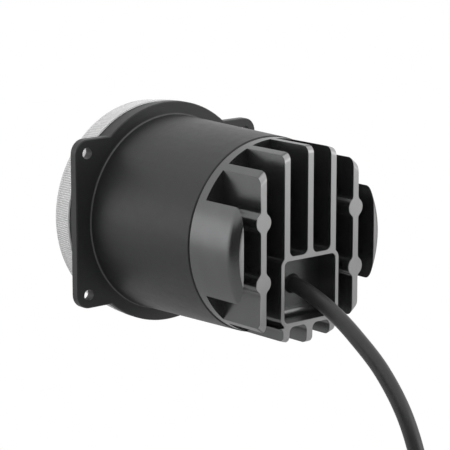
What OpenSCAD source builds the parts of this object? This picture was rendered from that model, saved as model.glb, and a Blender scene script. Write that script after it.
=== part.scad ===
// Round LED fog lamp module with a four-eared mounting plate and a slotted, die-cast heat sink.
//
// The optical axis runs along Y: the lens faces -Y and the heat sink +Y, with +Z up. The origin is
// the centre of the four mounting holes, on the rear face of the plate, which seats on the bracket.

/* [Mounting plate] */
// Width of the plate across its ears
plate_w = 96.6; // [95:0.2:110]
// Height of the plate across its ears
ear_h = 70.6; // [66:0.2:80]
// Thickness of the plate
plate_t = 4; // [4:0.5:6]
// Corner radius of the ears
ear_r = 6; // [3:0.5:8]
// Diameter of the round part of the plate
disc_d = 93.4; // [93:0.2:95]
// Spacing of the mounting holes from left to right
hole_span_x = 85; // [82:0.5:86]
// Spacing of the mounting holes from top to bottom
hole_span_z = 59.2; // [56:0.2:62]
// Diameter of the mounting holes
hole_d = 4.8; // [4.2:0.1:5.5]

/* [Housing tube] */
// Outside diameter of the tube where it leaves the plate
tube_root_d = 82.4; // [81:0.2:83]
// Outside diameter of the tube at the joint with the heat sink
tube_end_d = 79.8; // [78:0.2:80.4]
// Length of the tube, from the plate to the joint
tube_len = 61; // [60:0.5:70]
// Wall thickness of the tube
tube_wall = 2.6; // [2:0.1:3]
// Thickness of the wall that closes the tube at the joint
flange_t = 3; // [3:0.5:4]

/* [Lens] */
// Outside diameter of the lens skirt at its rear edge
lens_d = 92.8; // [92:0.2:94]
// Outside diameter of the lens skirt at its front edge
lens_front_d = 90.4; // [89:0.2:92]
// Length of the lens skirt
skirt_len = 11.2; // [10:0.2:14]
// Height of the domed front above the skirt
dome_h = 5; // [3:0.5:8]
// Wall thickness of the lens
lens_wall = 2.4; // [2:0.1:3]
// Depth of the ring that carries the lens
lens_ring_len = 4.3; // [4:0.1:6]

/* [Heat sink] */
// Outside diameter of the heat sink
sink_d = 79; // [77.4:0.2:79.6]
// Length of the heat sink behind the joint
sink_len = 27; // [24:0.5:34]
// Thickness of the solid base in front of the slots
base_t = 4.6; // [4:0.2:6]
// Distance from the middle of one fin to the next
fin_pitch = 12.2; // [12:0.1:12.6]
// Thickness of the fins
fin_t = 2.8; // [2.4:0.1:3.4]
// Radius that rounds the rear corners of the five plain fins
fin_corner_r = 3; // [2:0.2:4]
// Distance from the axis to the inner faces of the two outermost fins
segment_x = 34.6; // [34:0.1:36]
// Radius that rounds the rear edge of the two outermost fins
rear_r = 4.6; // [3:0.2:6]
// Diameter of the four screw columns
column_d = 7.4; // [7:0.2:9]
// Height of the screw columns above and below the axis
column_z = 12; // [11:0.2:13]

/* [Cable pocket] */
// Inside width of the pocket
pocket_w = 27.2; // [24:0.2:28]
// Inside height of the pocket
pocket_h = 25; // [22:0.2:26]
// Depth of the pocket
pocket_depth = 10.5; // [8:0.5:12]
// Thickness of the walls of the pocket
pocket_wall = 1.6; // [1.4:0.1:2]
// Distance of the upper wall of the pocket below the axis
pocket_drop = 4.8; // [4:0.2:6]

/* [Cable] */
// Diameter of the cable
cable_d = 6.4; // [5.6:0.1:6.8]

/* [Hidden] */
$fn = 96;

black_paint = "#2b2c2e";
cast_grey = "#77797c";
black_rubber = "#1d1d1e";
clear_plastic = "#dfe3e6";
steel = "#b4b7ba";
board_green = "#2f5a3c";
chip_black = "#1b1c1e";
lock_orange = "#d8772a";

// Front of the lamp, from the plate towards -Y
disc_r = disc_d / 2;
edge_chamfer = 0.4;
root_fillet = 0.7;
ring_rear = -plate_t;
ring_front = ring_rear - lens_ring_len;
ring_outer_r = 45.8;
ring_inner_r = 42;
ring_lip = 1.4;
ring_lip_len = 2.8;
seal_w = 1.2;
seal_t = 1;
seal_r = ring_outer_r - seal_w - 0.4;
skirt_front = ring_front - skirt_len;
rim_round = 1.2;

// Reflector: a paraboloid whose focus is at the front of the LEDs
rim_seat_r = 42;
rim_seat_depth = 1.8;
reflector_wall = 1.8;
reflector_mouth_r = 36;
reflector_neck = 47.5;
bezel_len = 12.5;
bezel_wall = 1.4;

// Joint between the housing and the heat sink
tube_root_r = tube_root_d / 2;
tube_end_r = tube_end_d / 2;
flange_front = tube_len - flange_t;
flange_hole_r = 22.5;
joint_chamfer = 0.35;
sink_r = sink_d / 2;
sink_rear = tube_len + sink_len;
slot_floor = tube_len + base_t;
oring_r = 34.2;
oring_w = 2.4;
oring_t = 1.4;
m4_d = 4;
m4_head_d = 7;
m4_head_h = 3;
m4_reach = 12;

// Light engine
pedestal_r = 12;
pedestal_front = 52;
pad_t = 0.5;
led_board_t = 1.6;
led_chip = 3;
led_chip_t = 0.8;
led_chip_pitch = 3.7;
led_screw_r = 8.5;
led_board_front = pedestal_front - pad_t - led_board_t;
led_front = led_board_front - led_chip_t;
m25_d = 2.5;
m25_head_d = 4;
m25_head_h = 1.4;

// Driver
driver_board_t = 1.6;
driver_inner_r = 22;
driver_outer_r = 35.2;
post_h = 4;
post_r = 3;
post_ring_r = 31;
post_angles = [0, 90, 180];
driver_rear = flange_front - post_h;
driver_front = driver_rear - driver_board_t;
lead_r = 0.6;
power_lead_r = 0.9;

// Vent under the tube
vent_y = 42;
vent_angle = -110;
vent_boss_r = 5.5;
vent_seat = 41;
vent_stem_d = 4;
vent_cap_d = 10;
vent_cap_t = 1.6;

// Cable pocket, bore and gland
pocket_floor = sink_rear - pocket_depth;
pocket_top = -pocket_drop;
pocket_mid = pocket_top - pocket_h / 2;
pocket_r = 2.2;
cable_z = -17.2;
cable_r = cable_d / 2;
bore_r = 4;
gland_flange_r = 5;
gland_flange_t = 1.5;
gland_nose = 0.8;
cable_start = tube_len - gland_flange_t - 1;

// Route of the cable: out of the gland, down in one bend, then hanging to the connector
connector_x = -4;
connector_y = 154;
connector_top = -190;
boot_len = 24;
route = [
    [0, cable_start, cable_z],
    [0, 70, cable_z],
    [0, pocket_floor + 1, cable_z],
    [0, 90, -20.2],
    [0, 102, -25],
    [0, 114, -31.8],
    [-1, 128, -43.2],
    [-2, 140, -59.2],
    [-3, 148, -80],
    [-4, 153, -104],
    [connector_x, connector_y, -130],
    [connector_x, connector_y, -160],
    [connector_x, connector_y, connector_top + 3]
];
steps_per_leg = 3;
cable_sides = 12;

// Connector at the end of the cable, mating face down
shell_w = 20;
shell_t = 14;
shell_len = 34;
shell_r = 3.5;
shell_wall = 1.7;
socket_depth = 18;
pin_d = 1.6;
pin_x = 4.6;
pin_reach = 14;
lock_stem_w = 3;
lock_stem_t = 6;
lock_stem_len = 6;
lock_head_w = 5;
lock_head_t = 8;
lock_head_len = 7;
lock_gap = 0.3;

// ---- Helpers -------------------------------------------------------------------------------

// Points of an arc about (cx, cy), from angle a0 to a1
function arc(cx, cy, r, a0, a1, n = 6) =
    [for (i = [0:n]) let (a = a0 + (a1 - a0) * i / n) [cx + r * cos(a), cy + r * sin(a)]];

// Turns a (radius, y) outline about the axis of the lamp
module turned() rotate([-90, 0, 0]) rotate_extrude() children();

// Extrudes an (x, z) outline from y0 to y1
module slab(y0, y1) translate([0, y1, 0]) rotate([90, 0, 0]) linear_extrude(y1 - y0) children();

// Round bar along Y
module bar_y(y0, y1, r) slab(y0, y1) circle(r);

// Moves its children to an angle on a circle about the axis of the lamp
module polar(r, a) translate([r * cos(a), 0, r * sin(a)]) children();

module rounded_rect(w, h, r) {
    square([w - 2 * r, h], center = true);
    square([w, h - 2 * r], center = true);
    for (x = [-1, 1], y = [-1, 1])
        translate([x * (w / 2 - r), y * (h / 2 - r)]) circle(r, $fn = 32);
}

// Concave fillet that fills the corner at the origin, towards (sx, sy)
module corner_fill(r, sx, sy) difference() {
    translate([min(0, sx * r), min(0, sy * r)]) square(r);
    translate([sx * r, sy * r]) circle(r, $fn = 32);
}

module at_columns() for (x = [-1, 1], z = [-1, 1])
    translate([x * 2 * fin_pitch, 0, z * column_z]) children();

// Point at u, from 0 to 1, between b and c of four neighbouring points of a smooth curve
function spline_point(a, b, c, d, u) =
    0.5 * (2 * b + (c - a) * u + (2 * a - 5 * b + 4 * c - d) * u * u
        + (3 * b - a - 3 * c + d) * u * u * u);

function smooth(points, steps) = let (last = len(points) - 1) concat(
    [for (i = [0:last - 1], s = [0:steps - 1]) spline_point(
        points[max(i - 1, 0)], points[i], points[i + 1], points[min(i + 2, last)], s / steps)],
    [points[last]]);

function unit(v) = v / norm(v);

// Round tube of one polyhedron along a path that never runs along X
module swept_tube(path, r, sides) {
    last = len(path) - 1;
    rings = [for (i = [0:last]) let (
        along = unit(path[min(i + 1, last)] - path[max(i - 1, 0)]),
        up = unit(cross(along, [1, 0, 0])),
        side = cross(up, along)
    ) for (k = [0:sides - 1]) let (a = 360 * k / sides)
        path[i] + r * (cos(a) * side + sin(a) * up)];
    walls = [for (i = [0:last - 1], k = [0:sides - 1]) let (n = (k + 1) % sides)
        [i * sides + k, i * sides + n, (i + 1) * sides + n, (i + 1) * sides + k]];
    start_cap = [for (k = [0:sides - 1]) sides - 1 - k];
    end_cap = [for (k = [0:sides - 1]) last * sides + k];
    polyhedron(points = rings, faces = concat([start_cap], walls, [end_cap]));
}

// Thin insulated lead, curved smoothly through its points
module lead(points, r) swept_tube(smooth(points, 3), r, 8);

// Screw along +Y with its head in front of the plane y = 0, and a socket of the given width
module screw(d, length, head_d, head_h, socket) difference() {
    union() {
        bar_y(-head_h, 0, head_d / 2);
        bar_y(-0.01, length, d / 2);
    }
    slab(-head_h - 1, -head_h * 0.4) circle(socket / 2, $fn = 6);
}

// ---- Lens and front ------------------------------------------------------------------------

// Outside of the lens from its rear edge to the middle of the dome, inset by a wall thickness
function lens_outline(inset) = let (
    front_r = lens_front_d / 2 - inset,
    front = skirt_front + inset,
    round_r = max(rim_round - inset, 0.3),
    cap_r = front_r - round_r,
    dome = (cap_r * cap_r + dome_h * dome_h) / (2 * dome_h),
    sweep = asin(cap_r / dome)
) concat(
    [[lens_d / 2 - inset, ring_front]],
    arc(front_r - round_r, front + round_r, round_r, 0, -90 + sweep, 4),
    [for (i = [1:12]) let (a = sweep * (1 - i / 12))
        [dome * sin(a), front - dome_h + dome * (1 - cos(a))]]);

module lens() color(clear_plastic) turned() {
    inner = lens_outline(lens_wall);
    polygon(concat(lens_outline(0), [for (i = [len(inner) - 1:-1:0]) inner[i]]));
}

module lens_seal() color(black_rubber) turned()
    translate([seal_r, ring_front]) square([seal_w, seal_t]);

module lens_ring() color(black_paint) turned() difference() {
    union() {
        translate([ring_inner_r, ring_front]) square([ring_outer_r - ring_inner_r, lens_ring_len]);
        translate([ring_inner_r, ring_front - ring_lip_len]) square([ring_lip, ring_lip_len + 1]);
    }
    translate([seal_r, ring_front - 0.5]) square([seal_w, seal_t + 0.5]);
}

// Shade between the reflector and the lens
module inner_bezel() color(chip_black) turned() polygon([
    [reflector_mouth_r, ring_rear],
    [reflector_mouth_r, ring_rear - bezel_wall],
    [ring_inner_r - bezel_wall - 0.2, ring_rear - bezel_len],
    [ring_inner_r - 0.2, ring_rear - bezel_len],
    [reflector_mouth_r + 2 * bezel_wall, ring_rear - bezel_wall],
    [rim_seat_r - 0.2, ring_rear - bezel_wall],
    [rim_seat_r - 0.2, ring_rear]
]);

// Paraboloid through the mouth radius at the plate, with its focus at the front of the LEDs
focus_span = led_front + plate_t;
focal = (sqrt(focus_span * focus_span + reflector_mouth_r * reflector_mouth_r) - focus_span) / 2;
function bowl_r(y) = sqrt(4 * focal * (led_front + focal - y));

module reflector() color(steel) turned() {
    steps = 14;
    rim_rear = ring_rear + rim_seat_depth;
    reach = reflector_neck - ring_rear;
    back = reflector_neck - rim_rear;
    polygon(concat(
        [for (i = [0:steps]) let (y = reflector_neck - reach * i / steps) [bowl_r(y), y]],
        [[rim_seat_r - 0.2, ring_rear], [rim_seat_r - 0.2, rim_rear]],
        [for (i = [0:steps]) let (y = rim_rear + back * i / steps) [bowl_r(y) + reflector_wall, y]]));
}

// ---- Housing -------------------------------------------------------------------------------

// Radius of the outside of the tube at a distance behind the plate
function tube_r(y) = tube_root_r + (tube_end_r - tube_root_r) * y / tube_len;

module ears() hull() {
    slab(-plate_t + edge_chamfer, -edge_chamfer) rounded_rect(plate_w, ear_h, ear_r);
    slab(-plate_t, 0)
        rounded_rect(plate_w - 2 * edge_chamfer, ear_h - 2 * edge_chamfer, ear_r - edge_chamfer);
}

module tube_and_disc() turned() polygon(concat(
    [
        [flange_hole_r, tube_len],
        [flange_hole_r, -plate_t],
        [disc_r - edge_chamfer, -plate_t],
        [disc_r, edge_chamfer - plate_t],
        [disc_r, -edge_chamfer],
        [disc_r - edge_chamfer, 0]
    ],
    arc(tube_root_r + root_fillet, root_fillet, root_fillet, -90, -180, 4),
    [[tube_end_r, tube_len - joint_chamfer], [tube_end_r - joint_chamfer, tube_len]]
));

// Hollow of the tube, with the seat for the rim of the reflector
module tube_bore() turned() polygon([
    [0, flange_front],
    [tube_r(flange_front) - tube_wall, flange_front],
    [tube_r(0) - tube_wall, rim_seat_depth - plate_t],
    [rim_seat_r, rim_seat_depth - plate_t],
    [rim_seat_r, -plate_t - 1],
    [0, -plate_t - 1]
]);

// Places its children at the vent, with +Z pointing straight out of the tube
module at_vent() translate([0, vent_y, 0]) rotate([0, 90 - vent_angle, 0]) children();

module housing() color(black_paint) difference() {
    union() {
        difference() {
            union() {
                tube_and_disc();
                ears();
                at_vent() translate([0, 0, vent_seat - 4]) cylinder(h = 4, r = vent_boss_r);
            }
            tube_bore();
        }
        for (a = post_angles) polar(post_ring_r, a) bar_y(driver_rear, flange_front + 1, post_r);
    }
    slab(flange_front - 1, tube_len + 1) circle(flange_hole_r);
    for (x = [-1, 1], z = [-1, 1]) translate([x * hole_span_x / 2, 0, z * hole_span_z / 2])
        bar_y(-plate_t - 1, 1, hole_d / 2);
    at_columns() bar_y(flange_front - 1, tube_len + 1, m4_d / 2);
    for (a = post_angles) polar(post_ring_r, a) bar_y(driver_rear - 1, flange_front, m25_d / 2);
    at_vent() translate([0, 0, tube_end_r - 6]) cylinder(h = 10, d = vent_stem_d);
}

// Breather with a membrane under its cap
module vent_cap() color(black_rubber) at_vent() translate([0, 0, vent_seat]) difference() {
    union() {
        cylinder(h = vent_cap_t, d = vent_cap_d);
        translate([0, 0, -3.5]) cylinder(h = 4, d = vent_stem_d);
    }
    for (a = [0, 60, 120]) rotate([0, 0, a])
        translate([-vent_cap_d, -0.5, vent_cap_t - 0.6]) cube([2 * vent_cap_d, 1, 1]);
    translate([0, 0, -4]) cylinder(h = 4.6, r = 1.2);
}

// ---- Heat sink -----------------------------------------------------------------------------

// Outline of a fin's cross-section where it swells around a screw column
module column_section() {
    fillet = 2.2;
    neck_x = fin_t / 2 + fillet;
    reach = column_d / 2 + fillet;
    neck_z = sqrt(reach * reach - neck_x * neck_x);
    circle(d = column_d, $fn = 48);
    for (s = [-1, 1]) difference() {
        polygon([[0, 0], [neck_x, s * neck_z], [-neck_x, s * neck_z]]);
        for (x = [-1, 1]) translate([x * neck_x, s * neck_z]) circle(fillet, $fn = 32);
    }
}

module pocket_outline() translate([0, pocket_mid])
    rounded_rect(pocket_w + 2 * pocket_wall, pocket_h + 2 * pocket_wall, pocket_r + pocket_wall);

// Fills the corners where the three middle fins run into the pocket
module pocket_fillets() {
    r = 2.4;
    top = pocket_top + pocket_wall;
    bottom = pocket_top - pocket_h - pocket_wall;
    for (k = [-1, 0, 1], s = [-1, 1]) {
        translate([k * fin_pitch + s * fin_t / 2, 0]) {
            translate([0, bottom]) corner_fill(r, s, -1);
            if (abs(k + s) < 2) translate([0, top]) corner_fill(r, s, 1);
        }
    }
}

// Five plain fins seen from behind, with the screw columns and the walls of the pocket
module fin_section() {
    for (k = [-2:2]) translate([k * fin_pitch - fin_t / 2, -sink_r]) square([fin_t, sink_d]);
    for (s = [-1, 1], z = [-1, 1]) translate([s * 2 * fin_pitch, z * column_z]) column_section();
    pocket_outline();
    pocket_fillets();
}

// The two outermost fins seen from behind: what lies beyond segment_x on either side
module segment_section() for (s = [-1, 1])
    translate([s * (segment_x + fin_pitch / 2), 0]) square([fin_pitch, sink_d], center = true);

// Cylinder of the heat sink, with radius r round its rear edge
module sink_envelope(r) turned() polygon(concat(
    [[0, tube_len], [sink_r - joint_chamfer, tube_len], [sink_r, tube_len + joint_chamfer]],
    arc(sink_r - r, sink_rear - r, r, 0, 90, 8),
    [[0, sink_rear]]
));

// Pocket with a rounded corner along the foot of its floor
module pocket_cut() difference() {
    slab(pocket_floor, sink_rear + 1) translate([0, pocket_mid])
        rounded_rect(pocket_w, pocket_h, pocket_r);
    translate([-pocket_w / 2, pocket_floor, pocket_top - pocket_h])
        rotate([90, 0, 90]) linear_extrude(pocket_w) corner_fill(pocket_r, 1, 1);
}

module heat_sink() color(cast_grey) difference() {
    union() {
        intersection() {
            sink_envelope(rear_r);
            union() {
                slab(tube_len - 1, slot_floor) circle(sink_r + 1);
                slab(slot_floor - 0.5, sink_rear + 1) segment_section();
            }
        }
        intersection() {
            sink_envelope(fin_corner_r);
            slab(slot_floor - 0.5, sink_rear + 1) fin_section();
        }
        bar_y(pedestal_front, slot_floor, pedestal_r);
    }
    pocket_cut();
    translate([0, 0, cable_z]) bar_y(tube_len - 1, pocket_floor + 1, bore_r);
    at_columns() bar_y(tube_len - 1, tube_len + m4_reach, m4_d / 2);
    for (s = [-1, 1]) translate([s * led_screw_r, 0, 0])
        bar_y(pedestal_front - 1, pedestal_front + 6, m25_d / 2);
    turned() translate([oring_r - oring_w / 2, tube_len - 1]) square([oring_w, oring_t + 1]);
}

module sink_seal() color(black_rubber) turned()
    translate([oring_r - oring_w / 2, tube_len]) square([oring_w, oring_t]);

module sink_screws() color(steel) translate([0, flange_front, 0])
    at_columns() screw(m4_d, flange_t + m4_reach - 1, m4_head_d, m4_head_h, 3);

// ---- Light engine --------------------------------------------------------------------------

module thermal_pad() color("#c9cdd0") difference() {
    bar_y(pedestal_front - pad_t, pedestal_front, pedestal_r);
    for (s = [-1, 1]) translate([s * led_screw_r, 0, 0])
        bar_y(pedestal_front - 1, pedestal_front + 1, m25_d / 2);
}

module led_board() color("#e9ebec") difference() {
    bar_y(led_board_front, led_board_front + led_board_t, pedestal_r);
    for (s = [-1, 1]) translate([s * led_screw_r, 0, 0])
        bar_y(led_board_front - 1, pedestal_front, m25_d / 2);
}

module led_chips() color("#e8d44a") for (i = [-1, 0, 1], j = [-1, 1])
    translate([i * led_chip_pitch, 0, j * led_chip_pitch / 2])
        slab(led_front, led_board_front) square(led_chip, center = true);

module led_board_screws() color(steel) for (s = [-1, 1])
    translate([s * led_screw_r, led_board_front, 0]) screw(m25_d, 6, m25_head_d, m25_head_h, 2);

// ---- Driver --------------------------------------------------------------------------------

module driver_board() color(board_green) difference() {
    bar_y(driver_front, driver_rear, driver_outer_r);
    bar_y(driver_front - 1, driver_rear + 1, driver_inner_r);
    for (a = post_angles) polar(post_ring_r, a) bar_y(driver_front - 1, driver_rear + 1, m25_d / 2);
}

module driver_screws() color(steel) for (a = post_angles) polar(post_ring_r, a)
    translate([0, driver_front, 0]) screw(m25_d, driver_board_t + post_h - 0.5, m25_head_d, m25_head_h, 2);

module driver_chips() color(chip_black) {
    for (a = [200, 228, 335]) polar(28.5, a)
        slab(driver_front - 1.6, driver_front) square([6, 6], center = true);
    polar(28.5, 25) slab(driver_front - 2.2, driver_front) square([7, 5], center = true);
}

module capacitors() color("#3a4a6a") for (a = [50, 130]) polar(28.5, a)
    bar_y(driver_front - 10, driver_front, 4);

// Drum core: two flanges with the winding between them
module inductor() color("#6d4b33") polar(28.5, 300) {
    bar_y(driver_front - 7, driver_front - 6, 5);
    bar_y(driver_front - 6, driver_front - 1, 4.4);
    bar_y(driver_front - 1, driver_front, 5);
}

// Each lead stands on the driver board, and lies along the LED board where it is soldered
module led_leads() color("#b32d2a") for (s = [-1, 1]) lead([
    [s * 3, driver_front, 25],
    [s * 3, driver_front - 1.6, 25],
    [s * 3, led_board_front - lead_r - 0.2, 21.5],
    [s * 3, led_board_front - lead_r - 0.05, 13],
    [s * 3, led_board_front - lead_r - 0.05, 9.6]
], lead_r);

module power_leads() color("#8f2a28") for (s = [-1, 1]) lead([
    [s * 1.6, cable_start, cable_z],
    [s * 1.6, cable_start - 1.6, cable_z],
    [s * 2.6, 52.6, -18.8],
    [s * 3.4, 49.8, -22.4],
    [s * 3.5, driver_front - 1.8, -25.5],
    [s * 3.5, driver_front, -25.5]
], power_lead_r);

// ---- Cable ---------------------------------------------------------------------------------

// Rubber gland moulded round the cable, held from inside the lamp by its flange
module cable_gland() color(black_rubber) translate([0, 0, cable_z]) turned() polygon([
    [cable_r, tube_len - gland_flange_t],
    [gland_flange_r, tube_len - gland_flange_t],
    [gland_flange_r, tube_len],
    [bore_r, tube_len],
    [bore_r, pocket_floor],
    [cable_r + 0.3, pocket_floor + gland_nose],
    [cable_r, pocket_floor + gland_nose]
]);

module cable() color(black_rubber) swept_tube(smooth(route, steps_per_leg), cable_r, cable_sides);

// ---- Connector -----------------------------------------------------------------------------

module at_connector() translate([connector_x, connector_y, connector_top]) children();

// Tapered boot over the end of the cable, with flexing ribs
module connector_boot() color(black_rubber) at_connector() difference() {
    union() {
        cylinder(h = boot_len, r1 = 5.6, r2 = cable_r + 0.8);
        for (i = [1:4]) translate([0, 0, 4 * i + 1]) cylinder(h = 1.8, r = 6.3 - 0.4 * i);
        cylinder(h = 3, r = 6.2);
    }
    translate([0, 0, 3]) cylinder(h = boot_len, r = cable_r);
}

// Shell outline below the boot, between two heights
module shell_block(z0, z1, w, t, r) translate([0, 0, z0]) linear_extrude(z1 - z0)
    rounded_rect(w, t, r);

module connector_shell() color(chip_black) at_connector() difference() {
    union() {
        shell_block(-3, 0, shell_w - 4, shell_t - 1, shell_r);
        shell_block(-shell_len, -3, shell_w, shell_t, shell_r);
        shell_block(-15, -13, shell_w + 3, shell_t + 3, shell_r + 1);
        for (i = [0:3]) shell_block(-5.4 - 2 * i, -4.4 - 2 * i, shell_w + 1, shell_t - 4, 1);
        translate([-3, shell_t / 2, -26]) rotate([90, 0, 90]) linear_extrude(6)
            polygon([[-0.5, 0], [2.2, 0], [0, -7], [-0.5, -7]]);
    }
    shell_block(-shell_len - 1, -shell_len + socket_depth, shell_w - 2 * shell_wall,
        shell_t - 2 * shell_wall, shell_r - shell_wall);
    translate([0, 0, socket_depth - shell_len + (lock_stem_len + 1) / 2 - 0.5])
        cube([lock_stem_w + 2 * lock_gap, lock_stem_t + 2 * lock_gap, lock_stem_len + 2],
            center = true);
    for (s = [-1, 1]) translate([s * pin_x, 0, -shell_len])
        cylinder(h = shell_len - 6, d = pin_d, $fn = 32);
}

module connector_pins() color("#c9a45a") at_connector() for (s = [-1, 1])
    translate([s * pin_x, 0, -6]) mirror([0, 0, 1]) {
        length = shell_len - socket_depth - 6 + pin_reach;
        cylinder(h = length - 1, d = pin_d, $fn = 32);
        translate([0, 0, length - 1]) cylinder(h = 1, d1 = pin_d, d2 = pin_d / 2, $fn = 32);
    }

// Secondary lock between the pins: it slides out of the socket to release them
module wedge_lock() color(lock_orange) at_connector()
    translate([0, 0, socket_depth - shell_len - lock_gap]) difference() {
        union() {
            translate([-lock_stem_w / 2, -lock_stem_t / 2, -1])
                cube([lock_stem_w, lock_stem_t, lock_stem_len + 1]);
            translate([0, 0, -lock_head_len / 2])
                cube([lock_head_w, lock_head_t, lock_head_len], center = true);
        }
        translate([0, 0, -lock_head_len]) cube([1.6, 4.4, 6], center = true);
    }

lens();
lens_seal();
lens_ring();
inner_bezel();
reflector();
housing();
vent_cap();
sink_seal();
heat_sink();
sink_screws();
thermal_pad();
led_board();
led_chips();
led_board_screws();
driver_board();
driver_screws();
driver_chips();
capacitors();
inductor();
led_leads();
power_leads();
cable_gland();
cable();
connector_boot();
connector_shell();
connector_pins();
wedge_lock();
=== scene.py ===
"""Looks of the LED fog lamp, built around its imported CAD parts. Lengths are in metres."""
import math

import bmesh
import bpy
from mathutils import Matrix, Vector


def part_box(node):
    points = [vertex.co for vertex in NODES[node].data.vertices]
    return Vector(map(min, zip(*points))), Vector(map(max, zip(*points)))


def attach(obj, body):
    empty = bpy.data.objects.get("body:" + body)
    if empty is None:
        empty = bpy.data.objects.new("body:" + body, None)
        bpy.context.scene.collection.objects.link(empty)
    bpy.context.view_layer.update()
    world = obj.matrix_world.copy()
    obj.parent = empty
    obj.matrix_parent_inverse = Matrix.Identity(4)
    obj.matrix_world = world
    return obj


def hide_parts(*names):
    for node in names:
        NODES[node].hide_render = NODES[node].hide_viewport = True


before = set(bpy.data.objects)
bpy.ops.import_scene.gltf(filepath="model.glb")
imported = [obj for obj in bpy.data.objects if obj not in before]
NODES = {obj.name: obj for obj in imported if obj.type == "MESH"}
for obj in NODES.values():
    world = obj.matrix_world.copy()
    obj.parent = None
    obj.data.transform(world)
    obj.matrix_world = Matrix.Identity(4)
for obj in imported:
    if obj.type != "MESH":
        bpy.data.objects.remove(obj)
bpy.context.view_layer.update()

# ---- Camera ---------------------------------------------------------------------------------

CAMERA_AZIMUTH = math.radians(139.485)
CAMERA_ELEVATION = math.radians(11.807)
CAMERA_DISTANCE = 0.9275
CAMERA_AIM = Vector((-0.01723, 0.01627, -0.00562))
CAMERA_LENS_MM = 176
SENSOR_MM = 36


def direction(azimuth, elevation):
    """Unit vector from the lamp: azimuth 0 is in front of the lens, and +X is at 90 degrees."""
    flat = math.cos(elevation)
    return Vector((math.sin(azimuth) * flat, -math.cos(azimuth) * flat, math.sin(elevation)))


def aim(thing, back):
    """Turns a camera or light, which looks along its own -Z, to face against back."""
    thing.rotation_euler = (-back).to_track_quat("-Z", "Y").to_euler()


def add_camera():
    """Camera behind the lamp, a little above it, and off to its +X side."""
    data = bpy.data.cameras.new("camera")
    data.lens = CAMERA_LENS_MM
    data.sensor_width = SENSOR_MM
    data.clip_start = 0.05
    data.clip_end = 60
    camera = bpy.data.objects.new("camera", data)
    back = direction(CAMERA_AZIMUTH, CAMERA_ELEVATION)
    camera.location = CAMERA_AIM + back * CAMERA_DISTANCE
    aim(camera, back)
    bpy.context.scene.collection.objects.link(camera)
    bpy.context.scene.camera = camera


add_camera()

# ---- Mesh helpers ---------------------------------------------------------------------------

WELD_DISTANCE = 1e-6


def add_mesh(name, vertices, faces):
    """Smooth-shaded object in the scene, made from vertices and faces."""
    mesh = bpy.data.meshes.new(name)
    mesh.from_pydata(vertices, [], faces)
    mesh.polygons.foreach_set("use_smooth", [True] * len(mesh.polygons))
    mesh.update()
    piece = bpy.data.objects.new(name, mesh)
    bpy.context.scene.collection.objects.link(piece)
    return piece


def ring_faces(rings, around):
    """Quads between neighbouring rings of vertices, each ring with the same number around."""
    faces = []
    for i in range(rings - 1):
        here = i * around
        there = (i + 1) * around
        for k in range(around):
            n = (k + 1) % around
            faces.append((here + k, here + n, there + n, there + k))
    return faces


def spline_point(a, b, c, d, u):
    """Point at u, from 0 to 1, between b and c of four neighbouring points of a smooth curve."""
    return 0.5 * (
        2 * b
        + (c - a) * u
        + (2 * a - 5 * b + 4 * c - d) * u ** 2
        + (3 * b - a - 3 * c + d) * u ** 3
    )


def smooth_path(points, steps):
    """Smooth curve through the points, with the given number of steps from each to the next."""
    points = [Vector(p) for p in points]
    last = len(points) - 1
    path = []
    for i in range(last):
        before = points[max(i - 1, 0)]
        after = points[min(i + 2, last)]
        for s in range(steps):
            path.append(spline_point(before, points[i], points[i + 1], after, s / steps))
    return path + [points[last]]


# ---- Cable ----------------------------------------------------------------------------------

CABLE_DIAMETER = 0.0064
CABLE_SIDES = 48
CABLE_STEPS = 10
JACKET_LINES = 12
JACKET_WAVES = 0.05
# Middle of the cable, from inside the gland to the top of the connector
CABLE_ROUTE = [
    (0, 0.0585, -0.0172),
    (0, 0.070, -0.0172),
    (0, 0.0785, -0.0172),
    (0, 0.090, -0.0202),
    (0, 0.102, -0.025),
    (0, 0.114, -0.0318),
    (-0.001, 0.128, -0.0432),
    (-0.002, 0.140, -0.0592),
    (-0.003, 0.148, -0.080),
    (-0.004, 0.153, -0.104),
    (-0.004, 0.154, -0.130),
    (-0.004, 0.154, -0.160),
    (-0.004, 0.154, -0.187),
]


def add_tube(name, path, radius, sides):
    """Round tube along a path that never runs along X."""
    last = len(path) - 1
    vertices = []
    for i, point in enumerate(path):
        along = (path[min(i + 1, last)] - path[max(i - 1, 0)]).normalized()
        up = along.cross(Vector((1, 0, 0))).normalized()
        side = up.cross(along)
        for k in range(sides):
            turn = 2 * math.pi * k / sides
            vertices.append(point + radius * (math.cos(turn) * side + math.sin(turn) * up))
    faces = ring_faces(len(path), sides)
    faces.append(tuple(reversed(range(sides))))
    faces.append(tuple(last * sides + k for k in range(sides)))
    tube = add_mesh(name, vertices, faces)
    lay_uv(tube, sides, radius)
    return tube


def lay_uv(tube, sides, radius):
    """Circle of UV round each ring of a tube, drifting along it: fine lines with slow waves."""
    uv = tube.data.uv_layers.new(name="along").data
    for loop in tube.data.loops:
        ring, k = divmod(loop.vertex_index, sides)
        turn = 2 * math.pi * k / sides
        across = JACKET_LINES * math.cos(turn)
        uv[loop.index].uv = (across + JACKET_WAVES * ring, JACKET_LINES * math.sin(turn))


def add_cable():
    """Jacket of the pigtail, which hangs from the gland to the connector."""
    path = smooth_path(CABLE_ROUTE, CABLE_STEPS)
    jacket = add_tube("cable_jacket", path, CABLE_DIAMETER / 2, CABLE_SIDES)
    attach(jacket, "lamp")
    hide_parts("cable")
    return jacket


cable_jacket = add_cable()

# ---- Lens -----------------------------------------------------------------------------------

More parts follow.
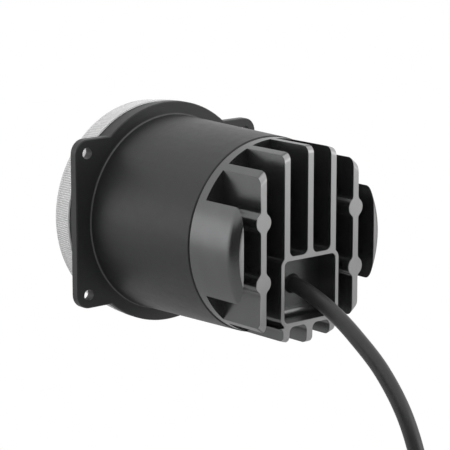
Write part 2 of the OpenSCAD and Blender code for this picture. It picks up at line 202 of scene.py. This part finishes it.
LENS_WALL = 0.0024
LENS_DOME = 0.005
LENS_RIM_ROUND = 0.0012
LENS_INNER_ROUND = 0.0003
SKIRT_DRAFT = 0.0012
RIB_COUNT = 300
RIB_DEPTH = 0.0003
RIB_STEPS = 6
RIB_MARGIN = 0.0008
DOME_STEPS = 14


def turned_mesh(name, profile, around, wobble):
    """Shell: a (radius, y, weight) outline from axis to axis, turned about Y, moved out by wobble."""
    vertices = []
    for radius, y, weight in profile:
        for k in range(around):
            turn = 2 * math.pi * k / around
            r = radius + weight * wobble(turn)
            vertices.append((r * math.cos(turn), y, r * math.sin(turn)))
    shell = add_mesh(name, vertices, ring_faces(len(profile), around))
    poles = bmesh.new()
    poles.from_mesh(shell.data)
    bmesh.ops.remove_doubles(poles, verts=poles.verts, dist=WELD_DISTANCE)
    poles.to_mesh(shell.data)
    poles.free()
    return shell


def dome(front_r, front_y):
    """Outline of the domed front, from its rim to the axis."""
    ball = (front_r ** 2 + LENS_DOME ** 2) / (2 * LENS_DOME)
    outline = []
    for i in range(DOME_STEPS + 1):
        r = front_r * (1 - i / DOME_STEPS)
        outline.append((r, front_y + ball - LENS_DOME - math.sqrt(ball ** 2 - r ** 2), 0))
    return outline


def lens_side(inset, ribbed):
    """One side of the lens's wall, from the rear edge of the skirt to the middle of the dome."""
    low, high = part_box("lens")
    rear_y = high.y
    rear_r = high.x - inset
    front_y = low.y + LENS_DOME + inset
    front_r = rear_r - SKIRT_DRAFT
    skirt = rear_y - front_y - LENS_RIM_ROUND
    outline = []
    marks = ((0, 0), (RIB_MARGIN, 0), (1.5 * RIB_MARGIN, 1), (skirt - 1.5 * RIB_MARGIN, 1),
             (skirt - RIB_MARGIN, 0), (skirt, 0))
    for back, weight in marks:
        r = rear_r - SKIRT_DRAFT * back / (rear_y - front_y)
        outline.append((r, rear_y - back, weight if ribbed else 0))
    round_r = max(LENS_RIM_ROUND - inset, LENS_INNER_ROUND)
    for degrees in range(15, 90, 15):
        turn = math.radians(degrees)
        outline.append((
            front_r - round_r * (1 - math.cos(turn)),
            front_y + round_r * (1 - math.sin(turn)),
            0,
        ))
    dome_r = front_r - 0.75 * round_r
    return outline + dome(dome_r, front_y)


def rib_wave(turn):
    """Depth of the rounded ribs, with sharp valleys between them, cut into the skirt."""
    return -RIB_DEPTH * (1 - abs(math.cos(0.5 * RIB_COUNT * turn)))


def add_lens():
    """Lens as a thin shell with fine ribs along its skirt."""
    profile = list(reversed(lens_side(LENS_WALL, False))) + lens_side(0, True)
    shell = turned_mesh("lens_shell", profile, RIB_COUNT * RIB_STEPS, rib_wave)
    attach(shell, "lamp")
    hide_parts("lens")
    return shell


lens_shell = add_lens()

# ---- Material helpers -----------------------------------------------------------------------


class Finish:
    """A material with one Principled shader, patterned by noise in the lamp's own space."""

    def __init__(self, name, metallic=0.0, specular=0.5, ior=1.5):
        self.material = bpy.data.materials.new(name)
        self.material.use_nodes = True
        self.tree = self.material.node_tree
        self.shader = self.tree.nodes["Principled BSDF"]
        self.place = self.add("ShaderNodeTexCoord").outputs["Object"]
        self.normal = None
        for socket, value in (("Metallic", metallic), ("Specular IOR Level", specular), ("IOR", ior)):
            self.shader.inputs[socket].default_value = value

    def add(self, kind, **inputs):
        """Adds a node, and sets or links its inputs by name."""
        node = self.tree.nodes.new(kind)
        for name, value in inputs.items():
            self.put(node.inputs[name.replace("_", " ")], value)
        return node

    def put(self, socket, value):
        """Links a socket to another node's output, or sets it to a plain value."""
        if isinstance(value, bpy.types.NodeSocket):
            self.tree.links.new(value, socket)
        else:
            socket.default_value = value

    def noise(self, size, detail, stretch=(1, 1, 1)):
        """Noise from 0 to 1 with features of about the given size, in metres."""
        place = self.add("ShaderNodeMapping", Vector=self.place, Scale=stretch).outputs[0]
        return self.add("ShaderNodeTexNoise", Vector=place, Scale=1 / size, Detail=detail).outputs["Fac"]

    def math(self, operation, a, b=0.0):
        """Result of one step of arithmetic on a and b."""
        node = self.tree.nodes.new("ShaderNodeMath")
        node.operation = operation
        for socket, value in zip(node.inputs, (a, b)):
            self.put(socket, value)
        return node.outputs[0]

    def between(self, value, low, high, to_low=0.0, to_high=1.0):
        """Value, spread smoothly from low..high to to_low..to_high."""
        node = self.tree.nodes.new("ShaderNodeMapRange")
        node.interpolation_type = "SMOOTHSTEP"
        for name, v in (("Value", value), ("From Min", low), ("From Max", high),
                        ("To Min", to_low), ("To Max", to_high)):
            self.put(node.inputs[name], v)
        return node.outputs[0]

    def spread(self, noise, low, high):
        """Noise, which lies mostly within 0.3..0.7, made to run from low to high."""
        return self.between(noise, 0.3, 0.7, low, high)

    def blend(self, share, a, b):
        """Colour a where share is 0, and b where it is 1."""
        node = self.tree.nodes.new("ShaderNodeMix")
        node.data_type = "RGBA"
        self.put(node.inputs["Factor"], share)
        for name, colour in (("A", a), ("B", b)):
            socket = next(s for s in node.inputs if s.name == name and s.type == "RGBA")
            self.put(socket, colour)
        return next(s for s in node.outputs if s.type == "RGBA")

    def colour(self, value):
        """Sets the base colour."""
        self.put(self.shader.inputs["Base Color"], value)

    def rough(self, value):
        """Sets the roughness."""
        self.put(self.shader.inputs["Roughness"], value)

    def bump(self, height, depth):
        """Raises the surface by up to depth, in metres, where height is 1."""
        node = self.add("ShaderNodeBump", Height=height, Distance=depth, Strength=1.0)
        if self.normal:
            self.put(node.inputs["Normal"], self.normal)
        self.normal = node.outputs[0]
        self.put(self.shader.inputs["Normal"], self.normal)

    def axis(self, index):
        """Distance along X, Y or Z of the lamp's frame."""
        return self.add("ShaderNodeSeparateXYZ", Vector=self.place).outputs[index]

    def facing(self, index):
        """Share of the surface's normal along X, Y or Z of the lamp's frame."""
        normal = self.add("ShaderNodeTexCoord").outputs["Normal"]
        return self.add("ShaderNodeSeparateXYZ", Vector=normal).outputs[index]


def grey(level, warmth=0.0):
    """Grey of the given level, a little warmer or, below zero, a little cooler."""
    return (level * (1 + warmth), level, level * (1 - warmth), 1)


# ---- Materials ------------------------------------------------------------------------------


def satin_black():
    """Powder coat: near black with fine orange peel, and a painted highlight: paler on the fillet at the
    tube's root.
    """
    f = Finish("housing_black")
    root_fillet = 0.0007
    blur = 0.0001
    coat = f.blend(f.noise(0.018, 3), grey(0.020, -0.02), grey(0.027, -0.02))
    past_plate = f.between(f.axis(1), 0.0, 2 * blur)
    before_tube = f.between(f.axis(1), root_fillet - blur, root_fillet + blur, 1, 0)
    painted_fillet_highlight = f.math("MULTIPLY", past_plate, before_tube)
    # Painted highlight: the fillet at the tube's root is coloured paler than the coat.
    f.colour(f.blend(painted_fillet_highlight, coat, grey(0.10)))
    f.rough(f.spread(f.noise(0.003, 4), 0.43, 0.47))
    f.bump(f.noise(0.0022, 2), 0.00002)
    f.bump(f.noise(0.0004, 2), 0.000008)
    return f.material


def cast_metal():
    """Die-cast heat sink: dark coat on metal, flow marks along Z, ground rear ends of the fins, and a
    painted highlight on the rounded fin corners where they face the rear.
    """
    ground_depth = 0.0004
    highlight_corner_depth = 0.0028
    fins_reach = 0.033
    f = Finish("sink_cast", metallic=0.86)
    flow = f.noise(0.003, 4, stretch=(1, 1, 0.2))
    coat = f.blend(f.noise(0.012, 4), grey(0.125, -0.01), grey(0.165, -0.01))
    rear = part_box("heat_sink")[1].y
    face = f.between(f.axis(1), rear - ground_depth, rear - 0.75 * ground_depth)
    # Painted highlight: near the rear end, the parts of the rounded fin corners that face the rear get
    # the pale ground colour.
    near_rear = f.between(f.axis(1), rear - highlight_corner_depth, rear - 3 * ground_depth)
    painted_corner_highlight = f.math("MULTIPLY", near_rear, f.between(f.facing(1), 0.3, 0.6))
    on_fins = f.between(f.math("ABSOLUTE", f.axis(0)), fins_reach, fins_reach + 0.001, 1, 0)
    ground_face_and_corner_highlight = f.math("MAXIMUM", face, f.math("MULTIPLY", painted_corner_highlight, on_fins))
    # Pale colour on the ground rear faces and on the painted corner highlight.
    f.colour(f.blend(ground_face_and_corner_highlight, coat, f.blend(f.noise(0.0004, 2), grey(0.36), grey(0.44))))
    worn = f.spread(flow, 0.24, 0.27)
    f.rough(f.math("ADD", worn, f.math("MULTIPLY", ground_face_and_corner_highlight, 0.08)))
    f.bump(f.noise(0.0015, 3), 0.000012)
    f.bump(f.noise(0.0003, 2), 0.000006)
    return f.material


def seal_rubber():
    """Dull rubber, a little dusty, with the fine grain of its mould."""
    f = Finish("seal_rubber", specular=0.4)
    f.colour(f.blend(f.noise(0.003, 4), grey(0.014), grey(0.026)))
    f.rough(f.spread(f.noise(0.002, 3), 0.62, 0.78))
    f.bump(f.noise(0.0005, 3), 0.000015)
    return f.material


def cable_jacket_finish():
    """Extruded jacket: fine lines along the cable, slight waviness, and handling marks."""
    f = Finish("cable_black")
    around = f.add("ShaderNodeUVMap").outputs["UV"]
    lines = f.add("ShaderNodeTexNoise", Vector=around, Scale=1.0, Detail=3.0).outputs["Fac"]
    f.colour(f.blend(f.noise(0.006, 3), grey(0.032), grey(0.044)))
    f.rough(f.between(f.noise(0.003, 4), 0.45, 0.75, 0.33, 0.44))
    f.bump(lines, 0.00002)
    f.bump(f.noise(0.0006, 2), 0.000008)
    return f.material


def clear_plastic():
    """Clear lens: a water-white dome, and a skirt whose fine ribs scatter the light, with painted shade
    in the valleys between the ribs.
    """
    f = Finish("lens_clear", ior=1.58)
    low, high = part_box("lens")
    front = low.y + LENS_DOME
    skirt = f.between(f.axis(1), front - 0.0003, front + 0.0002)
    turn = f.math("ARCTAN2", f.axis(2), f.axis(0))
    crest = f.math("ABSOLUTE", f.math("COSINE", f.math("MULTIPLY", turn, 0.5 * RIB_COUNT)))
    ribbed = f.between(f.axis(1), high.y - 1.6 * RIB_MARGIN, high.y - 1.2 * RIB_MARGIN, 1, 0)
    # Painted shade: the valleys between the ribs are coloured darker grey.
    painted_valley_shade = f.math("MULTIPLY", ribbed, f.between(crest, 0.2, 0.75, 1, 0))
    frosted = f.blend(f.noise(0.004, 3), grey(0.94), grey(0.98))
    f.colour(f.blend(skirt, (0.97, 0.98, 0.985, 1), f.blend(painted_valley_shade, frosted, grey(0.68))))
    f.put(f.shader.inputs["Transmission Weight"], f.between(skirt, 0, 1, 1.0, 0.3))
    gloss = f.spread(f.noise(0.004, 3), 0.03, 0.07)
    f.rough(f.math("ADD", gloss, f.math("MULTIPLY", skirt, 0.16)))
    f.bump(f.noise(0.006, 1), 0.00001)
    return f.material


def mirror_coat():
    """Vacuum-metallised reflector, with a faint mottle in the coat."""
    f = Finish("reflector_mirror", metallic=1.0)
    f.colour(f.blend(f.noise(0.008, 3), (0.90, 0.90, 0.89, 1), (0.95, 0.95, 0.94, 1)))
    f.rough(f.spread(f.noise(0.004, 3), 0.04, 0.09))
    f.bump(f.noise(0.003, 2), 0.000006)
    return f.material


def satin_silver():
    """Shade behind the lens: silvered, with rings of its turned mould."""
    f = Finish("bezel_grey", metallic=0.9)
    rings = f.noise(0.0012, 2, stretch=(0.02, 1, 0.02))
    f.colour(f.blend(f.noise(0.01, 3), grey(0.72), grey(0.82)))
    f.rough(f.spread(rings, 0.24, 0.34))
    f.bump(rings, 0.00001)
    return f.material


def zinc_steel():
    """Bright zinc plate with fine turning marks and slightly cloudy patches."""
    f = Finish("screw_steel", metallic=1.0)
    f.colour(f.blend(f.noise(0.002, 4), (0.58, 0.59, 0.60, 1), (0.70, 0.70, 0.69, 1)))
    f.rough(f.spread(f.noise(0.0008, 3, stretch=(1, 4, 1)), 0.24, 0.38))
    f.bump(f.noise(0.0004, 2, stretch=(1, 5, 1)), 0.000005)
    return f.material


def silicone_pad():
    """Filled silicone sheet: pale grey, speckled with its filler."""
    f = Finish("pad_silicone", specular=0.35)
    specks = f.between(f.noise(0.0003, 2), 0.55, 0.65)
    f.colour(f.blend(specks, grey(0.55), grey(0.42)))
    f.rough(f.spread(f.noise(0.001, 2), 0.6, 0.75))
    f.bump(f.noise(0.0003, 2), 0.00001)
    return f.material


def circuit_board(name, mask, track, track_pitch):
    """Solder mask over copper tracks, which stand proud under it and show paler."""
    f = Finish(name)
    bands = f.noise(track_pitch, 0, stretch=(1, 1, 0.25))
    tracks = f.between(bands, 0.50, 0.53)
    f.colour(f.blend(tracks, mask, track))
    f.rough(f.spread(f.noise(0.001, 3), 0.28, 0.4))
    f.bump(tracks, 0.00003)
    f.bump(f.noise(0.0002, 2), 0.000004)
    return f.material


def chip_epoxy():
    """Moulded epoxy of the chips: matt and sandy."""
    f = Finish("chip_black", specular=0.4)
    f.colour(f.blend(f.noise(0.0006, 4), grey(0.012), grey(0.024)))
    f.rough(f.spread(f.noise(0.0004, 2), 0.5, 0.65))
    f.bump(f.noise(0.00015, 2), 0.000006)
    return f.material


def capacitor_can():
    """Electrolytic cans: a dark sleeve, and bare aluminium on the end away from the board."""
    f = Finish("capacitor_can")
    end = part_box("capacitors")[0].y
    bare = f.between(f.axis(1), end + 0.0002, end)
    sleeve = f.blend(f.noise(0.003, 3), (0.015, 0.02, 0.05, 1), (0.02, 0.028, 0.065, 1))
    f.colour(f.blend(bare, sleeve, (0.78, 0.79, 0.80, 1)))
    f.put(f.shader.inputs["Metallic"], bare)
    f.rough(f.spread(f.noise(0.001, 3), 0.26, 0.36))
    f.bump(f.noise(0.0008, 2), 0.000006)
    return f.material


def copper_winding():
    """Drum inductor: enamelled turns of wire between two ferrite flanges."""
    low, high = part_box("inductor")
    flange = 0.001
    wire_pitch = 0.0005
    f = Finish("inductor_copper")
    front = f.between(f.axis(1), low.y + flange, low.y + 1.1 * flange, 1, 0)
    rear = f.between(f.axis(1), high.y - 1.1 * flange, high.y - flange, 0, 1)
    ferrite = f.math("MAXIMUM", front, rear)
    turns = f.math("ABSOLUTE", f.math("SINE", f.math("MULTIPLY", f.axis(1), math.pi / wire_pitch)))
    wire = f.blend(f.noise(0.002, 3), (0.34, 0.10, 0.035, 1), (0.50, 0.17, 0.06, 1))
    f.colour(f.blend(ferrite, wire, grey(0.03)))
    f.put(f.shader.inputs["Metallic"], f.math("MULTIPLY", f.math("SUBTRACT", 1.0, ferrite), 0.8))
    f.rough(f.math("ADD", f.math("MULTIPLY", ferrite, 0.4), 0.25))
    f.bump(f.math("MULTIPLY", turns, f.math("SUBTRACT", 1.0, ferrite)), 0.00012)
    return f.material


def led_phosphor():
    """LED packages: a yellow phosphor square inside a white frame on each of the six."""
    pitch = 0.0037
    window = 0.0011
    f = Finish("led_phosphor")
    # Ten whole pitches keep both distances above zero
    off_x = f.math("PINGPONG", f.math("ADD", f.axis(0), 10 * pitch), pitch / 2)
    off_z = f.math("PINGPONG", f.math("ADD", f.axis(2), 10.5 * pitch), pitch / 2)
    far = f.math("MAXIMUM", off_x, off_z)
    frame_share = f.between(far, window, window + 0.0001)
    phosphor = f.blend(f.noise(0.0003, 2), (0.86, 0.60, 0.04, 1), (0.80, 0.50, 0.03, 1))
    f.colour(f.blend(frame_share, phosphor, (0.82, 0.81, 0.78, 1)))
    f.rough(f.spread(f.noise(0.0004, 2), 0.32, 0.5))
    f.bump(frame_share, 0.00006)
    f.bump(f.noise(0.00012, 2), 0.000006)
    return f.material


def moulded(name, low, high, rough, grain):
    """Moulded plastic in two close tones, with the spark-eroded grain of its mould."""
    f = Finish(name)
    f.colour(f.blend(f.noise(0.004, 4), low, high))
    f.rough(f.spread(f.noise(0.0015, 3), rough, rough + 0.12))
    f.bump(f.noise(grain, 2), 0.000012)
    return f.material


def plated_pin():
    """Drawn brass pins: warm metal with streaks along the pin."""
    f = Finish("pin_brass", metallic=1.0)
    streaks = f.noise(0.0003, 3, stretch=(1, 1, 0.1))
    f.colour(f.blend(streaks, (0.70, 0.50, 0.20, 1), (0.82, 0.63, 0.30, 1)))
    f.rough(f.spread(streaks, 0.18, 0.32))
    f.bump(streaks, 0.000004)
    return f.material


FINISHES = {
    "lens_clear": clear_plastic(),
    "housing_black": satin_black(),
    "sink_cast": cast_metal(),
    "reflector_mirror": mirror_coat(),
    "bezel_grey": satin_silver(),
    "seal_rubber": seal_rubber(),
    "cable_black": cable_jacket_finish(),
    "screw_steel": zinc_steel(),
    "pad_silicone": silicone_pad(),
    "board_white": circuit_board("board_white", grey(0.72), grey(0.82), 0.006),
    "board_green": circuit_board(
        "board_green", (0.012, 0.075, 0.030, 1), (0.030, 0.150, 0.055, 1), 0.004
    ),
    "chip_black": chip_epoxy(),
    "capacitor_can": capacitor_can(),
    "inductor_copper": copper_winding(),
    "led_phosphor": led_phosphor(),
    "lead_red": moulded("lead_red", (0.36, 0.012, 0.010, 1), (0.46, 0.020, 0.014, 1), 0.3, 0.0006),
    "connector_black": moulded("connector_black", grey(0.011), grey(0.019), 0.38, 0.0005),
    "pin_brass": plated_pin(),
    "lock_orange": moulded(
        "lock_orange", (0.72, 0.19, 0.020, 1), (0.80, 0.24, 0.030, 1), 0.34, 0.0005
    ),
}
for node_object in NODES.values():
    for material_slot in node_object.material_slots:
        material_slot.material = FINISHES[material_slot.material.name]
cable_jacket.data.materials.append(FINISHES["cable_black"])
lens_shell.data.materials.append(FINISHES["lens_clear"])

# ---- Rounded edges --------------------------------------------------------------------------

FLAT_WITHIN = math.radians(0.5)
SHARP_FROM = math.radians(35)


def round_edges(node, width):
    """Rounds the sharp edges of a CAD piece, once the triangles of each flat face are merged."""
    piece = NODES[node]
    piece.modifiers.new("weld", "WELD").merge_threshold = WELD_DISTANCE
    flat = piece.modifiers.new("flat", "DECIMATE")
    flat.decimate_type = "DISSOLVE"
    flat.angle_limit = FLAT_WITHIN
    edges = piece.modifiers.new("edges", "BEVEL")
    edges.width = width
    edges.segments = 2
    edges.limit_method = "ANGLE"
    edges.angle_limit = SHARP_FROM
    edges.miter_outer = "MITER_ARC"
    normals = piece.modifiers.new("normals", "WEIGHTED_NORMAL")
    normals.keep_sharp = False


round_edges("heat_sink", 0.00035)
round_edges("housing", 0.0002)
round_edges("connector_shell", 0.0003)
round_edges("wedge_lock", 0.0002)

# ---- Stage ----------------------------------------------------------------------------------

FLOOR_Z = -0.235
FLOOR_REACH = 8
FILL_LEVEL = 1.0


def shown_white(tree, surface):
    """Shader that is plain white seen directly or through the lens, and else the given surface."""
    white = tree.nodes.new("ShaderNodeEmission")
    white.inputs["Strength"].default_value = 1.0
    mix = tree.nodes.new("ShaderNodeMixShader")
    path = tree.nodes.new("ShaderNodeLightPath")
    seen = tree.nodes.new("ShaderNodeMath")
    seen.operation = "MAXIMUM"
    tree.links.new(path.outputs["Is Camera Ray"], seen.inputs[0])
    tree.links.new(path.outputs["Is Transmission Ray"], seen.inputs[1])
    tree.links.new(seen.outputs[0], mix.inputs[0])
    tree.links.new(surface, mix.inputs[1])
    tree.links.new(white.outputs[0], mix.inputs[2])
    return mix.outputs[0]


def add_floor():
    """Pale floor that the lamp reflects; the camera sees plain white through it."""
    quarters = ((-1, -1), (1, -1), (1, 1), (-1, 1))
    corners = [(x * FLOOR_REACH, y * FLOOR_REACH, FLOOR_Z) for x, y in quarters]
    floor = add_mesh("floor", corners, [(0, 1, 2, 3)])
    f = Finish("floor")
    f.colour(f.blend(f.noise(0.5, 2), grey(0.60), grey(0.62)))
    f.rough(0.8)
    floor.data.materials.append(f.material)
    floor.visible_camera = False
    floor.visible_transmission = False


def add_world():
    """Even white surroundings, like a light tent."""
    world = bpy.data.worlds.new("studio")
    world.use_nodes = True
    tree = world.node_tree
    fill = tree.nodes["Background"]
    fill.inputs["Color"].default_value = (1, 1, 1, 1)
    fill.inputs["Strength"].default_value = FILL_LEVEL
    tree.links.new(shown_white(tree, fill.outputs[0]), tree.nodes["World Output"].inputs["Surface"])
    bpy.context.scene.world = world


def add_softbox(name, azimuth, elevation, distance, width, height, radiance):
    """Rectangular light that faces the lamp; radiance 1 is as bright as a white wall."""
    data = bpy.data.lights.new(name, "AREA")
    data.shape = "RECTANGLE"
    data.size = width
    data.size_y = height
    data.energy = radiance * math.pi * width * height
    light = bpy.data.objects.new(name, data)
    back = direction(math.radians(azimuth), math.radians(elevation))
    light.location = back * distance
    aim(light, back)
    bpy.context.scene.collection.objects.link(light)


def add_flag(first, last, distance, top):
    """Black card on the floor round the lamp, between two azimuths, seen only in reflections."""
    steps = 12
    turns = [math.radians(first + (last - first) * i / steps) for i in range(steps + 1)]
    foot = [direction(turn, 0) * distance + Vector((0, 0, FLOOR_Z + 0.001)) for turn in turns]
    head = [p + Vector((0, 0, top - p.z)) for p in foot]
    faces = [(i, i + 1, steps + 2 + i, steps + 1 + i) for i in range(steps)]
    flag = add_mesh("flag", foot + head, faces)
    f = Finish("flag")
    f.colour(f.blend(f.noise(0.1, 2), grey(0.01), grey(0.02)))
    f.rough(0.9)
    flag.data.materials.append(f.material)
    flag.visible_camera = False
    flag.visible_transmission = False


add_floor()
add_world()
add_flag(first=80, last=185, distance=1.15, top=0.4)
add_flag(first=200, last=245, distance=0.9, top=-0.15)
add_softbox(
    "front_left", azimuth=38, elevation=4, distance=1.2, width=0.8, height=0.5, radiance=0.8
)
add_softbox(
    "rear_right", azimuth=220, elevation=9, distance=1.2, width=0.65, height=0.75, radiance=1.1
)
bpy.context.scene.view_settings.view_transform = "Standard"
